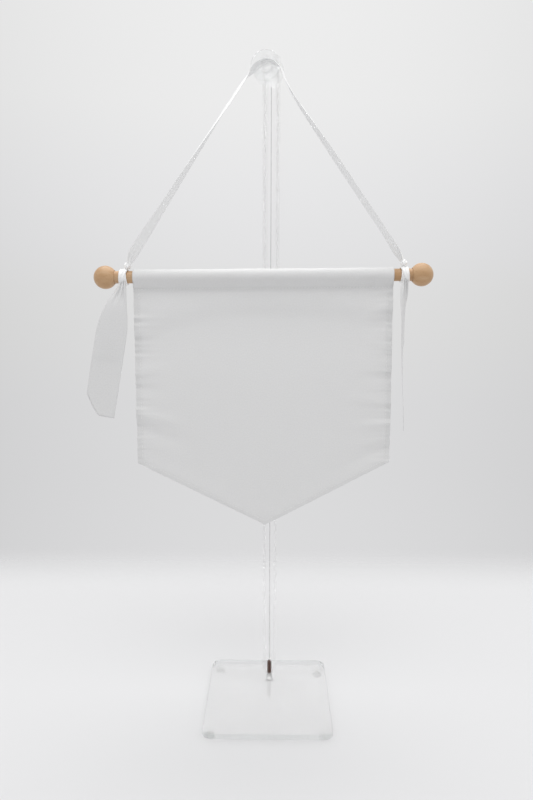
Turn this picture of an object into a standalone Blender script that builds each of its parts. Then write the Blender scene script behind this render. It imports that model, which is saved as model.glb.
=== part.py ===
"""A cloth pennant on a wooden dowel, hung by a tied ribbon from a clear display stand.

Metres, +Z up, +X to the viewer's right, and the viewer at -Y.
The origin is on the table, under the middle of the whole piece.
"""
import math

import bmesh
import bpy
from mathutils import Matrix, Vector

# Shared fits and steps
GAP = 0.0003                # between pieces that rest on or in each other
MERGE = 1e-7                # doubles left on a turned piece's axis
ROUND_STEPS = 36            # sides of a large turned piece
SMALL_STEPS = 20            # sides of a small turned piece
RIM_STEPS = 3               # faces across each rounded edge of a disc
SMOOTH_LIMIT = math.radians(35)

# Base plate, feet and stud
PLATE_X = 0.0084
PLATE_WIDTH = 0.102
PLATE_DEPTH = 0.119
PLATE_THICK = 0.005
PLATE_CORNER = 0.0085
PLATE_EDGE = 0.0004
CORNER_STEPS = 6
FOOT_RADIUS = 0.004
FOOT_HEIGHT = 0.0012
FOOT_DRAFT = 0.0003
FOOT_PLACES = {             # stuck on by hand, measured from the plate's middle
    "rear_left": (-0.0439, 0.0497),
    "rear_right": (0.0439, 0.0440),
    "front_left": (-0.0450, -0.0514),
    "front_right": (0.0441, -0.0511),
}
STUD_RADIUS = 0.0019
STUD_HEAD_RADIUS = 0.0037
STUD_HEAD_HEIGHT = 0.0019
STUD_REACH = 0.0118         # above the plate
STUD_TIP = 0.0005

# Post
POST_X = 0.0093
POST_Y = 0.0357
ROD_RADIUS = 0.006
ROD_EDGE = 0.0004
SLEEVE_RADIUS = 0.0075
SLEEVE_WALL = 0.00115
SLEEVE_BOTTOM = 0.300
SLEEVE_TOP = 0.530
PLUG_LENGTH = 0.0215
PLUG_GROOVES = (0.0035, 0.0075)     # heights above the plug's lower end
GROOVE_HALF = 0.0006
GROOVE_DEPTH = 0.0005

# Hanging peg, a turned piece with a flange at each end
PEG_Z = 0.516
PEG_SWING = math.radians(10)        # its front end points a little to the left
PEG_RADIUS = 0.0045
PEG_LENGTH = 0.0155
FLANGE_RADIUS = 0.0115
FLANGE_THICK = 0.0022
FLANGE_ROUND = 0.0005
STUB_RADIUS = 0.0025
STUB_INNER_END = 0.0025             # from the post's axis

# Dowel and its two balls, the right end a little higher
DOWEL_X = 0.00325
DOWEL_Y = 0.0182
DOWEL_Z = 0.3560
DOWEL_RISE = 0.0113                 # height gained for each metre to the right
DOWEL_RADIUS = 0.005
DOWEL_EDGE = 0.0003
BALL_SPACING = 0.2561
BALL_RADIUS = 0.0094
BALL_BORE_END = 0.0015              # from the ball's middle
BALL_ARC_STEPS = 12

# Pennant cloth
CLOTH_THICK = 0.0010
HEM_EXTRA = 0.0006
HEM_SIDE = 0.0050
HEM_BOTTOM = 0.0042
HEM_STEP = 0.0008
CLOTH_LEFT_TOP = -0.1020
CLOTH_LEFT_LOW = -0.1015
CLOTH_RIGHT_TOP = 0.1085
CLOTH_RIGHT_LOW = 0.1090
SEAM_DROP = 0.0094                  # drops are measured from the dowel's axis
CORNER_DROP = 0.1542
TIP_DROP = 0.2075
TIP_SHARE = 0.508                   # where the point is across the width
POCKET_STEPS = 12
LEG_ROWS = 30
CLOTH_COLUMNS = 22
POCKET_LAP = math.radians(35)       # how far each side of the pocket passes the dowel
BELLY = 0.0016                      # the field swells forward below the pocket
BELLY_SHARE = 0.45                  # of the way down, where it stands out most
BELLY_POWER = 0.8
RELIEF_FADE = 0.12                  # share of the drop in which the relief sets in
RIPPLE = 0.0007                     # slow waves over the whole field
RIPPLE_X, RIPPLE_X_START = 0.034, 1.1
RIPPLE_Z, RIPPLE_Z_START = 0.045, 0.4
# Puckers that the side hems draw into the field: a row for each crease
PUCKER_FIELDS = ("side", "height", "reach", "half", "depth", "slope")
PUCKERS = (
    ("left", 0.326, 0.012, 0.0040, -0.0005, 0.10),
    ("left", 0.309, 0.015, 0.0040, 0.0005, 0.00),
    ("left", 0.277, 0.020, 0.0048, 0.0008, 0.15),
    ("left", 0.263, 0.016, 0.0045, -0.0007, 0.00),
    ("left", 0.2435, 0.026, 0.0048, 0.0010, -0.25),
    ("left", 0.232, 0.032, 0.0060, -0.0010, -0.35),
    ("right", 0.336, 0.016, 0.0045, 0.0006, -0.60),
    ("right", 0.322, 0.014, 0.0045, -0.0006, -0.30),
    ("right", 0.299, 0.018, 0.0045, 0.0006, 0.20),
    ("right", 0.274, 0.018, 0.0045, -0.0008, 0.00),
    ("right", 0.253, 0.024, 0.0045, 0.0008, 0.10),
    ("right", 0.236, 0.022, 0.0045, 0.0008, -0.10),
    ("right", 0.217, 0.028, 0.0060, -0.0010, -0.45),
)

# Ribbon: hanging loop, wraps and free tails, all cut from one length
RIBBON_THICK = 0.0010
RIBBON_ACROSS = 4                   # faces across its width
RIBBON_STEPS = 3                    # sections for each row of its table
TANGENT_SHARE = 0.004               # of a strip's length, for its direction
# Middle line of each strip: chord is how wide the gathered ribbon is and cup how
# far its middle bows outward. Turn is its twist: 0 is edge-on to the viewer and 90
# faces the viewer. Peg is 1 where its width lies along the peg.
STRIP_FIELDS = ("x", "y", "z", "chord", "cup", "turn", "peg")
LOOP = (
    (-0.1052, 0.0172, 0.3640, 0.0040, 0.0002, -10, 0),
    (-0.1012, 0.0176, 0.3710, 0.0070, 0.0010, -14, 0),
    (-0.0944, 0.0182, 0.3815, 0.0140, 0.0022, -18, 0),
    (-0.0784, 0.0182, 0.4060, 0.0215, 0.0030, -18, 0),
    (-0.0552, 0.0182, 0.4415, 0.0225, 0.0030, -12, 0),
    (-0.0320, 0.0182, 0.4770, 0.0215, 0.0025, 2, 0.2),
    (-0.0170, 0.0190, 0.5000, 0.0172, 0.0012, 10, 0.8),
    (-0.0102, 0.0202, 0.5100, 0.0148, 0.0004, 5, 1),
    (-0.0058, 0.0203, 0.5152, 0.0144, 0.0001, 2, 1),
    (0.0000, 0.0193, 0.5197, 0.0144, 0.0000, 0, 1),
    (0.0062, 0.0182, 0.5215, 0.0144, 0.0000, 0, 1),
    (0.0124, 0.0171, 0.5197, 0.0144, 0.0000, 0, 1),
    (0.0178, 0.0162, 0.5145, 0.0144, 0.0001, -2, 1),
    (0.0238, 0.0164, 0.5060, 0.0154, 0.0008, -5, 0.9),
    (0.0340, 0.0172, 0.4890, 0.0190, 0.0022, -9, 0.5),
    (0.0578, 0.0182, 0.4535, 0.0225, 0.0034, -11, 0),
    (0.0833, 0.0182, 0.4165, 0.0225, 0.0034, -16, 0),
    (0.1036, 0.0182, 0.3870, 0.0170, 0.0026, -18, 0),
    (0.1122, 0.0178, 0.3745, 0.0080, 0.0010, -12, 0),
    (0.1160, 0.0174, 0.3668, 0.0040, 0.0002, -10, 0),
)
TAIL_LEFT = (
    (-0.1100, 0.0126, 0.3515, 0.0046, 0.0002, 90, 0),
    (-0.1108, 0.0100, 0.3440, 0.0085, 0.0014, 88, 0),
    (-0.1145, 0.0092, 0.3310, 0.0170, 0.0030, 86, 0),
    (-0.1180, 0.0093, 0.3150, 0.0238, 0.0024, 86, 0),
    (-0.1231, 0.0100, 0.2880, 0.0250, 0.0010, 87, 0),
    (-0.1277, 0.0108, 0.2620, 0.0250, 0.0006, 88, 0),
    (-0.1314, 0.0115, 0.2420, 0.0250, 0.0004, 88, 0),
)
TAIL_RIGHT = (
    (0.1174, 0.0120, 0.3535, 0.0044, 0.0002, 85, 0),
    (0.1169, 0.0118, 0.3440, 0.0090, 0.0010, 45, 0),
    (0.1166, 0.0150, 0.3290, 0.0190, 0.0020, 18, 0),
    (0.1170, 0.0175, 0.3050, 0.0245, 0.0018, 13, 0),
    (0.1180, 0.0185, 0.2760, 0.0250, 0.0010, 11, 0),
    (0.1194, 0.0190, 0.2500, 0.0250, 0.0006, 9, 0),
    (0.1203, 0.0192, 0.2290, 0.0250, 0.0004, 9, 0),
)
TAIL_SLANT = 0.0170                 # one corner of each tail is cut off
WRAP_HALF = 0.0030
WRAP_THICK = 0.0018
WRAP_STEPS = 10
KNOT_STEPS = 12
# A wrap round the dowel and a knot on it at each end, with the knot's half sizes
END_FIELDS = ("wrap_x", "knot_x", "knot_y", "knot_rise", "half_x", "half_y", "half_z")
ENDS = (
    (-0.1100, -0.1062, 0.0174, 0.0088, 0.0032, 0.0036, 0.0032),
    (0.1176, 0.1164, 0.0176, 0.0092, 0.0032, 0.0036, 0.0034),
)

# Each material's colour, roughness and alpha
MATERIALS = {
    "clear_acrylic": ((0.90, 0.92, 0.92), 0.03, 0.35),
    "soft_bumper": ((0.80, 0.81, 0.80), 0.35, 0.60),
    "dark_steel": ((0.10, 0.085, 0.075), 0.35, 1.0),
    "beech": ((0.72, 0.50, 0.32), 0.50, 1.0),
    "white_satin_cloth": ((0.80, 0.80, 0.80), 0.50, 1.0),
    "white_satin_ribbon": ((0.84, 0.84, 0.84), 0.40, 1.0),
}

# Worked-out levels
PLATE_BOTTOM = FOOT_HEIGHT + GAP
PLATE_TOP = PLATE_BOTTOM + PLATE_THICK
PLUG_BOTTOM = SLEEVE_TOP - PLUG_LENGTH
ROD_TOP = PLUG_BOTTOM - GAP
SLEEVE_BORE = SLEEVE_RADIUS - SLEEVE_WALL
PLUG_RADIUS = SLEEVE_BORE - GAP
DOWEL_TILT = math.atan(DOWEL_RISE)


def clear_scene():
    for item in list(bpy.data.objects):
        bpy.data.objects.remove(item, do_unlink=True)


def make_material(name):
    colour, roughness, alpha = MATERIALS[name]
    material = bpy.data.materials.new(name)
    material.use_nodes = True
    shader = material.node_tree.nodes["Principled BSDF"]
    shader.inputs["Base Color"].default_value = (*colour, 1.0)
    shader.inputs["Roughness"].default_value = roughness
    shader.inputs["Metallic"].default_value = 0.0
    shader.inputs["Alpha"].default_value = alpha
    return material


def make_object(name, bm, material):
    """Turn a bmesh into a named, smooth-shaded object."""
    bmesh.ops.recalc_face_normals(bm, faces=bm.faces)
    mesh = bpy.data.meshes.new(name)
    bm.to_mesh(mesh)
    bm.free()
    mesh.shade_smooth()
    mesh.set_sharp_from_angle(angle=SMOOTH_LIMIT)
    mesh.materials.append(material)
    item = bpy.data.objects.new(name, mesh)
    bpy.context.collection.objects.link(item)
    return item


def turned_mesh(profile, steps):
    """Spin a profile of (radius, height) pairs, which starts and ends on the axis
    or comes back to its start, round Z."""
    bm = bmesh.new()
    corners = [bm.verts.new((radius, 0.0, height)) for radius, height in profile]
    edges = [bm.edges.new(pair) for pair in zip(corners, corners[1:])]
    if profile[0][0] > 0.0:
        edges.append(bm.edges.new((corners[-1], corners[0])))
    bmesh.ops.spin(bm, geom=corners + edges, axis=(0, 0, 1), cent=(0, 0, 0),
                   angle=math.tau, steps=steps, use_merge=True)
    bmesh.ops.remove_doubles(bm, verts=bm.verts, dist=MERGE)
    return bm


def make_turned(name, profile, steps, material):
    return make_object(name, turned_mesh(profile, steps), material)


def add_cutter(name, profile, steps, matrix, targets):
    """Cut a turned shape out of each target with a Boolean."""
    bm = turned_mesh(profile, steps)
    bmesh.ops.recalc_face_normals(bm, faces=bm.faces)
    mesh = bpy.data.meshes.new(name)
    bm.to_mesh(mesh)
    bm.free()
    cutter = bpy.data.objects.new(name, mesh)
    cutter.matrix_world = matrix
    cutter.hide_render = True
    cutter.display_type = "WIRE"
    bpy.context.collection.objects.link(cutter)
    for target in targets:
        cut = target.modifiers.new("hole", "BOOLEAN")
        cut.operation = "DIFFERENCE"
        cut.object = cutter


def rounded_rim(radius, low, high, edge):
    """Profile points of a disc's rim, from its low face to its high face."""
    angles = [math.pi / 2 * index / RIM_STEPS for index in range(RIM_STEPS + 1)]
    lower = [(radius - edge + edge * math.sin(angle), low + edge - edge * math.cos(angle))
             for angle in angles]
    upper = [(radius - edge + edge * math.cos(angle), high - edge + edge * math.sin(angle))
             for angle in angles]
    return lower + upper


def make_plate(material):
    bm = bmesh.new()
    outline = []
    reach_x = PLATE_WIDTH / 2 - PLATE_CORNER
    reach_y = PLATE_DEPTH / 2 - PLATE_CORNER
    for quarter, (side_x, side_y) in enumerate(((1, 1), (-1, 1), (-1, -1), (1, -1))):
        for step in range(CORNER_STEPS + 1):
            angle = math.pi / 2 * (quarter + step / CORNER_STEPS)
            outline.append((side_x * reach_x + PLATE_CORNER * math.cos(angle),
                            side_y * reach_y + PLATE_CORNER * math.sin(angle), 0.0))
    face = bm.faces.new([bm.verts.new(point) for point in outline])
    raised = bmesh.ops.extrude_face_region(bm, geom=[face])["geom"]
    top = [item for item in raised if isinstance(item, bmesh.types.BMVert)]
    bmesh.ops.translate(bm, verts=top, vec=(0, 0, PLATE_THICK))
    rims = [edge for edge in bm.edges
            if abs(edge.verts[0].co.z - edge.verts[1].co.z) < MERGE]
    bmesh.ops.bevel(bm, geom=rims, offset=PLATE_EDGE, segments=2, profile=0.5,
                    affect="EDGES", material=-1)
    plate = make_object("base_plate", bm, material)
    plate.location = (PLATE_X, 0.0, PLATE_BOTTOM)
    head = STUD_HEAD_RADIUS + GAP
    shank = STUD_RADIUS + GAP
    profile = [(0.0, -PLATE_THICK), (head, -PLATE_THICK), (head, GAP),
               (shank, STUD_HEAD_HEIGHT + 2 * GAP), (shank, 2 * PLATE_THICK), (0.0, 2 * PLATE_THICK)]
    add_cutter("stud_hole", profile, SMALL_STEPS,
               Matrix.Translation((POST_X, POST_Y, PLATE_BOTTOM)), [plate])


def make_feet(material):
    profile = [(0.0, 0.0), (FOOT_RADIUS - FOOT_DRAFT, 0.0), (FOOT_RADIUS, FOOT_DRAFT),
               (FOOT_RADIUS, FOOT_HEIGHT), (0.0, FOOT_HEIGHT)]
    for place, (x, y) in FOOT_PLACES.items():
        foot = make_turned("foot_" + place, profile, SMALL_STEPS, material)
        foot.location = (PLATE_X + x, y, 0.0)


def make_stud(material):
    top = PLATE_THICK + STUD_REACH
    profile = [(0.0, GAP), (STUD_HEAD_RADIUS, GAP), (STUD_RADIUS, GAP + STUD_HEAD_HEIGHT),
               (STUD_RADIUS, top - STUD_TIP), (STUD_RADIUS - STUD_TIP, top), (0.0, top)]
    stud = make_turned("stud_screw", profile, SMALL_STEPS, material)
    stud.location = (POST_X, POST_Y, PLATE_BOTTOM)


def make_post(material):
    """The rod stands on the plate; the sleeve and its plug sit over the rod's top."""
    bottom = PLATE_TOP + GAP
    bore = STUD_RADIUS + GAP
    bore_top = PLATE_TOP + STUD_REACH + GAP
    rod = make_turned("post_rod", [
        (0.0, bore_top), (bore, bore_top), (bore, bottom), (ROD_RADIUS - ROD_EDGE, bottom),
        (ROD_RADIUS, bottom + ROD_EDGE), (ROD_RADIUS, ROD_TOP - ROD_EDGE),
        (ROD_RADIUS - ROD_EDGE, ROD_TOP), (0.0, ROD_TOP)], ROUND_STEPS, material)
    sleeve = make_turned("post_sleeve", [
        (SLEEVE_BORE, SLEEVE_BOTTOM), (SLEEVE_RADIUS - ROD_EDGE, SLEEVE_BOTTOM),
        (SLEEVE_RADIUS, SLEEVE_BOTTOM + ROD_EDGE), (SLEEVE_RADIUS, SLEEVE_TOP - ROD_EDGE),
        (SLEEVE_RADIUS - ROD_EDGE, SLEEVE_TOP), (SLEEVE_BORE, SLEEVE_TOP)], ROUND_STEPS, material)
    profile = [(0.0, PLUG_BOTTOM), (PLUG_RADIUS, PLUG_BOTTOM)]
    for height in PLUG_GROOVES:
        middle = PLUG_BOTTOM + height
        profile += [(PLUG_RADIUS, middle - GROOVE_HALF), (PLUG_RADIUS - GROOVE_DEPTH, middle),
                    (PLUG_RADIUS, middle + GROOVE_HALF)]
    profile += [(PLUG_RADIUS, SLEEVE_TOP), (0.0, SLEEVE_TOP)]
    plug = make_turned("post_plug", profile, ROUND_STEPS, material)
    for item in (rod, sleeve, plug):
        item.location = (POST_X, POST_Y, 0.0)
    hole = STUB_RADIUS + GAP
    hole_profile = [(0.0, STUB_INNER_END - GAP), (hole, STUB_INNER_END - GAP),
                    (hole, 2 * SLEEVE_RADIUS), (0.0, 2 * SLEEVE_RADIUS)]
    add_cutter("stub_hole", hole_profile, SMALL_STEPS, peg_matrix(), [sleeve, plug])


def peg_matrix():
    """Local +Z runs along the peg to its front end; the origin is on the post's axis."""
    swing = Matrix.Rotation(-PEG_SWING, 4, "Z")
    return Matrix.Translation((POST_X, POST_Y, PEG_Z)) @ swing @ Matrix.Rotation(math.pi / 2, 4, "X")


def make_peg(material):
    back = SLEEVE_RADIUS + GAP
    peg_start = back + FLANGE_THICK
    peg_end = peg_start + PEG_LENGTH
    profile = [(0.0, STUB_INNER_END), (STUB_RADIUS, STUB_INNER_END), (STUB_RADIUS, back)]
    profile += rounded_rim(FLANGE_RADIUS, back, peg_start, FLANGE_ROUND)
    profile += [(PEG_RADIUS, peg_start), (PEG_RADIUS, peg_end)]
    profile += rounded_rim(FLANGE_RADIUS, peg_end, peg_end + FLANGE_THICK, FLANGE_ROUND)
    profile += [(0.0, peg_end + FLANGE_THICK)]
    peg = make_turned("hanging_peg", profile, ROUND_STEPS, material)
    peg.matrix_world = peg_matrix()


def dowel_height(x):
    return DOWEL_Z + DOWEL_RISE * (x - DOWEL_X)


def make_dowel(material):
    half = BALL_SPACING / 2 - BALL_BORE_END - GAP
    profile = [(0.0, -half), (DOWEL_RADIUS - DOWEL_EDGE, -half), (DOWEL_RADIUS, DOWEL_EDGE - half),
               (DOWEL_RADIUS, half - DOWEL_EDGE), (DOWEL_RADIUS - DOWEL_EDGE, half), (0.0, half)]
    dowel = make_turned("dowel", profile, SMALL_STEPS, material)
    dowel.location = (DOWEL_X, DOWEL_Y, DOWEL_Z)
    dowel.rotation_euler = (0.0, math.pi / 2 - DOWEL_TILT, 0.0)


def make_balls(material):
    bore = DOWEL_RADIUS + GAP
    mouth = math.asin(bore / BALL_RADIUS)
    profile = [(0.0, BALL_BORE_END), (bore, BALL_BORE_END)]
    for step in range(BALL_ARC_STEPS):
        angle = mouth + (math.pi - mouth) * step / BALL_ARC_STEPS
        profile.append((BALL_RADIUS * math.sin(angle), BALL_RADIUS * math.cos(angle)))
    profile.append((0.0, -BALL_RADIUS))
    for name, side in (("ball_left", -1), ("ball_right", 1)):
        ball = make_turned(name, profile, 2 * BALL_ARC_STEPS, material)
        x = DOWEL_X + side * BALL_SPACING / 2 * math.cos(DOWEL_TILT)
        ball.location = (x, DOWEL_Y, dowel_height(x))
        ball.rotation_euler = (0.0, -side * math.pi / 2 - DOWEL_TILT, 0.0)


def blend(first, second, share):
    return first + (second - first) * share


def soft_step(share):
    share = min(max(share, 0.0), 1.0)
    return share * share * (3.0 - 2.0 * share)


def cloth_relief(x, z, from_left, from_right, share):
    """How far the hanging field stands forward (-) or back (+) at a point."""
    fade = soft_step(share / RELIEF_FADE)
    relief = -BELLY * math.sin(math.pi * min(share / (2 * BELLY_SHARE), 1.0) ** BELLY_POWER)
    relief += RIPPLE * math.sin(x / RIPPLE_X + RIPPLE_X_START) * math.sin(z / RIPPLE_Z + RIPPLE_Z_START)
    for row in PUCKERS:
        pucker = dict(zip(PUCKER_FIELDS, row))
        inward = from_left if pucker["side"] == "left" else from_right
        middle = pucker["height"] + pucker["slope"] * inward
        across = math.exp(-((z - middle) / pucker["half"]) ** 2)
        relief -= pucker["depth"] * across * math.exp(-(inward / pucker["reach"]) ** 2)
    return relief * fade


def cloth_shares():
    """Column places across the cloth, closer together at the side hems."""
    width = CLOTH_RIGHT_TOP - CLOTH_LEFT_TOP
    hem = HEM_SIDE / width
    step = HEM_STEP / width
    inside = [blend(hem, 1 - hem, index / CLOTH_COLUMNS) for index in range(1, CLOTH_COLUMNS)]
    return [0.0, hem - step, hem, *inside, 1 - hem, 1 - hem + step, 1.0]


def cloth_section(share):
    """Outer and inner loop of the cloth's section at one column, as (x, y, z) points."""
    top_x = blend(CLOTH_LEFT_TOP, CLOTH_RIGHT_TOP, share)
    low_x = blend(CLOTH_LEFT_LOW, CLOTH_RIGHT_LOW, share)
    axis = dowel_height(top_x)
    if share < TIP_SHARE:
        drop = blend(CORNER_DROP, TIP_DROP, share / TIP_SHARE)
    else:
        drop = blend(TIP_DROP, CORNER_DROP, (share - TIP_SHARE) / (1 - TIP_SHARE))
    seam = axis - SEAM_DROP
    inner_radius = DOWEL_RADIUS + GAP
    outer_radius = inner_radius + CLOTH_THICK
    outer = []
    inner = []
    for index in range(POCKET_STEPS + 1):
        angle = blend(-POCKET_LAP, math.pi + POCKET_LAP, index / POCKET_STEPS)
        turn = (math.cos(angle), math.sin(angle))
        outer.append((top_x, DOWEL_Y + outer_radius * turn[0], axis + outer_radius * turn[1]))
        inner.append((top_x, DOWEL_Y + inner_radius * turn[0], axis + inner_radius * turn[1]))
    inner.append((top_x, DOWEL_Y, seam + CLOTH_THICK))
    leg = drop - SEAM_DROP
    fixed = [leg - HEM_BOTTOM - HEM_STEP, leg - HEM_BOTTOM, leg]
    drops = [fixed[0] * index / LEG_ROWS for index in range(LEG_ROWS)] + fixed
    front = []
    back = []
    for down in drops:
        x = blend(top_x, low_x, down / leg)
        z = seam - down
        width = CLOTH_RIGHT_TOP - CLOTH_LEFT_TOP
        from_left = share * width
        from_right = (1 - share) * width
        middle = DOWEL_Y + cloth_relief(x, z, from_left, from_right, down / leg)
        hem = min(from_left, from_right) < HEM_SIDE - HEM_STEP / 2 or down > leg - HEM_BOTTOM - MERGE
        extra = HEM_EXTRA if hem and down > 0.0 else 0.0
        front.append((x, middle - CLOTH_THICK / 2, z))
        back.append((x, middle + CLOTH_THICK / 2 + extra, z))
    return outer, front, back, inner


def make_cloth(material):
    """One cloth: a pocket closed round the dowel, and the hemmed field below it."""
    bm = bmesh.new()
    loops = []
    holes = []
    for share in cloth_shares():
        outer, front, back, inner = cloth_section(share)
        loops.append([bm.verts.new(point) for point in outer + front + back[::-1]])
        holes.append([bm.verts.new(point) for point in inner])
    for before, after in zip(loops, loops[1:]):
        add_band(bm, before, after)
    for before, after in zip(holes, holes[1:]):
        add_band(bm, after, before)
    for loop, hole in ((loops[0], holes[0]), (loops[-1], holes[-1])):
        close_cloth_end(bm, loop, hole)
    make_object("pennant_cloth", bm, material)


def close_cloth_end(bm, loop, hole):
    pocket = POCKET_STEPS + 1
    rows = (len(loop) - pocket) // 2
    for index in range(POCKET_STEPS):
        bm.faces.new((loop[index], loop[index + 1], hole[index + 1], hole[index]))
    crotch = hole[-1]
    seam_front = loop[pocket]
    seam_back = loop[-1]
    bm.faces.new((loop[pocket - 1], seam_front, crotch, hole[pocket - 1]))
    bm.faces.new((seam_back, loop[0], hole[0], crotch))
    bm.faces.new((seam_front, seam_back, crotch))
    for index in range(rows - 1):
        bm.faces.new((loop[pocket + index], loop[pocket + index + 1],
                      loop[-2 - index], loop[-1 - index]))


def add_band(bm, before, after):
    """Quads between two closed loops with the same number of points."""
    count = len(before)
    for index in range(count):
        follow = (index + 1) % count
        bm.faces.new((before[index], before[follow], after[follow], after[index]))


def row_at(rows, spans, share):
    """Values of a strip's table at a share of its length, on a smooth curve."""
    place = share * spans[-1]
    index = 0
    while index < len(rows) - 2 and spans[index + 1] < place:
        index += 1
    part = (place - spans[index]) / (spans[index + 1] - spans[index])
    before = rows[max(index - 1, 0)]
    after = rows[min(index + 2, len(rows) - 1)]
    values = [catmull(a, b, c, d, part)
              for a, b, c, d in zip(before, rows[index], rows[index + 1], after)]
    return dict(zip(STRIP_FIELDS, values))


def catmull(a, b, c, d, part):
    square = part * part
    cube = square * part
    return 0.5 * (2 * b + (c - a) * part + (2 * a - 5 * b + 4 * c - d) * square
                  + (3 * b - a - 3 * c + d) * cube)


def strip_point(rows, spans, share, across, face):
    """A point of the ribbon: across runs from -0.5 to 0.5, face is -1 or 1."""
    values = row_at(rows, spans, share)
    ahead = row_at(rows, spans, min(share + TANGENT_SHARE, 1.0))
    behind = row_at(rows, spans, max(share - TANGENT_SHARE, 0.0))
    place = Vector((values["x"], values["y"], values["z"]))
    along = Vector([ahead[key] - behind[key] for key in "xyz"]).normalized()
    front = Vector((-math.sin(PEG_SWING), -math.cos(PEG_SWING), 0.0))
    base = Vector((0.0, -1.0, 0.0)).lerp(front, values["peg"])
    edge_on = (base - along * base.dot(along)).normalized()
    lift = along.cross(edge_on)
    turn = math.radians(values["turn"])
    width = edge_on * math.cos(turn) + lift * math.sin(turn)
    inward = along.cross(width)
    bow = values["cup"] * (1.0 - 4.0 * across * across)
    return place + width * values["chord"] * across - inward * (bow + face * RIBBON_THICK / 2)


def strip_mesh(rows, slant=0.0):
    """A closed strip of ribbon along a table, its far end cut off at one corner."""
    spans = [0.0]
    for first, second in zip(rows, rows[1:]):
        spans.append(spans[-1] + math.dist(first[:3], second[:3]))
    shares = [blend(spans[row], spans[row + 1], step / RIBBON_STEPS) / spans[-1]
              for row in range(len(rows) - 1) for step in range(RIBBON_STEPS)]
    bm = bmesh.new()
    loops = []
    for share in [*shares, 1.0]:
        loop = []
        for face in (1, -1):
            steps = range(RIBBON_ACROSS + 1)
            for step in steps if face == 1 else reversed(steps):
                across = step / RIBBON_ACROSS - 0.5
                reach = 1.0 - slant / spans[-1] * max(0.0, 2.0 * across)
                loop.append(bm.verts.new(strip_point(rows, spans, reach * share, across, face)))
        loops.append(loop)
    for before, after in zip(loops, loops[1:]):
        add_band(bm, before, after)
    for loop in (loops[0], loops[-1]):
        for index in range(RIBBON_ACROSS):
            bm.faces.new((loop[index], loop[index + 1], loop[-2 - index], loop[-1 - index]))
    return bm


def wrap_mesh():
    """The ribbon's turns round the dowel, as one rounded ring along Z."""
    middle = DOWEL_RADIUS + GAP + WRAP_THICK / 2
    profile = []
    for step in range(WRAP_STEPS):
        angle = math.tau * step / WRAP_STEPS
        profile.append((middle + WRAP_THICK / 2 * math.cos(angle), WRAP_HALF * math.sin(angle)))
    return turned_mesh(profile, SMALL_STEPS)


def make_ribbon(material):
    """The loop, wraps, knots and tails are one length of ribbon, joined as one solid."""
    ribbon = make_object("ribbon", strip_mesh(LOOP), material)
    pieces = [strip_mesh(TAIL_LEFT, TAIL_SLANT), strip_mesh(TAIL_RIGHT, TAIL_SLANT)]
    for row in ENDS:
        end = dict(zip(END_FIELDS, row))
        wrap = wrap_mesh()
        wrap_place = Matrix.Translation((end["wrap_x"], DOWEL_Y, dowel_height(end["wrap_x"])))
        wrap_turn = Matrix.Rotation(math.pi / 2 - DOWEL_TILT, 4, "Y")
        bmesh.ops.transform(wrap, matrix=wrap_place @ wrap_turn, verts=wrap.verts)
        pieces.append(wrap)
        knot = bmesh.new()
        bmesh.ops.create_uvsphere(knot, u_segments=KNOT_STEPS, v_segments=KNOT_STEPS // 2, radius=1.0)
        size = Matrix.Diagonal((end["half_x"], end["half_y"], end["half_z"], 1.0))
        height = dowel_height(end["knot_x"]) + end["knot_rise"]
        knot_place = Matrix.Translation((end["knot_x"], end["knot_y"], height))
        bmesh.ops.transform(knot, matrix=knot_place @ size, verts=knot.verts)
        pieces.append(knot)
    for index, piece in enumerate(pieces):
        part = make_object("ribbon_part_%d" % index, piece, material)
        part.hide_render = True
        part.display_type = "WIRE"
        join = ribbon.modifiers.new("join", "BOOLEAN")
        join.operation = "UNION"
        join.object = part


def main():
    clear_scene()
    acrylic = make_material("clear_acrylic")
    beech = make_material("beech")
    make_plate(acrylic)
    make_feet(make_material("soft_bumper"))
    make_stud(make_material("dark_steel"))
    make_post(acrylic)
    make_peg(acrylic)
    make_dowel(beech)
    make_balls(beech)
    make_cloth(make_material("white_satin_cloth"))
    make_ribbon(make_material("white_satin_ribbon"))


main()
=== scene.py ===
"""A white satin pennant on a beech dowel, hung by a tied ribbon from a clear stand.

Metres, +Z up, +X to the viewer's right, and the viewer at -Y.
"""

import math

import bmesh
import bpy
from mathutils import Matrix, Vector, noise


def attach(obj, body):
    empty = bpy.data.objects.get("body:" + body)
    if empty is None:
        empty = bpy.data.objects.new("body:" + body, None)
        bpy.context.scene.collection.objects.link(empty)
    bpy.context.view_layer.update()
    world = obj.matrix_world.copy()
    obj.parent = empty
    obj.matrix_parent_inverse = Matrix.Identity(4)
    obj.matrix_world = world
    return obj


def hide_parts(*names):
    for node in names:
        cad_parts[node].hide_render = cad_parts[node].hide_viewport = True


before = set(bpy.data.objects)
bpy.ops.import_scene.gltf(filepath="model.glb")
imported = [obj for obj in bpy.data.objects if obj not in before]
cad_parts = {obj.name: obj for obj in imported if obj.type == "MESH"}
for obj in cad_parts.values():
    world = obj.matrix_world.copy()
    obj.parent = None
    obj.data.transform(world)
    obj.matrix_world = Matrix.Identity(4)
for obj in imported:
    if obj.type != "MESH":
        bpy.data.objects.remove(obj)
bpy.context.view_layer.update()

# The same places and sizes as in the CAD source
GAP = 0.0003
PLATE_X = 0.0084
PLATE_WIDTH = 0.102
PLATE_DEPTH = 0.119
PLATE_THICK = 0.005
PLATE_CORNER = 0.0085
PLATE_BOTTOM = 0.0015
PLATE_TOP = 0.0065
FOOT_RADIUS = 0.004
FOOT_HEIGHT = 0.0012
FOOT_PLACES = {
    "rear_left": (-0.0439, 0.0497),
    "rear_right": (0.0439, 0.0440),
    "front_left": (-0.0450, -0.0514),
    "front_right": (0.0441, -0.0511),
}
STUD_RADIUS = 0.0019
STUD_HEAD_RADIUS = 0.0037
STUD_HEAD_HEIGHT = 0.0019
STUD_TOP = 0.0183
POST_X = 0.0093
POST_Y = 0.0357
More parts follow.
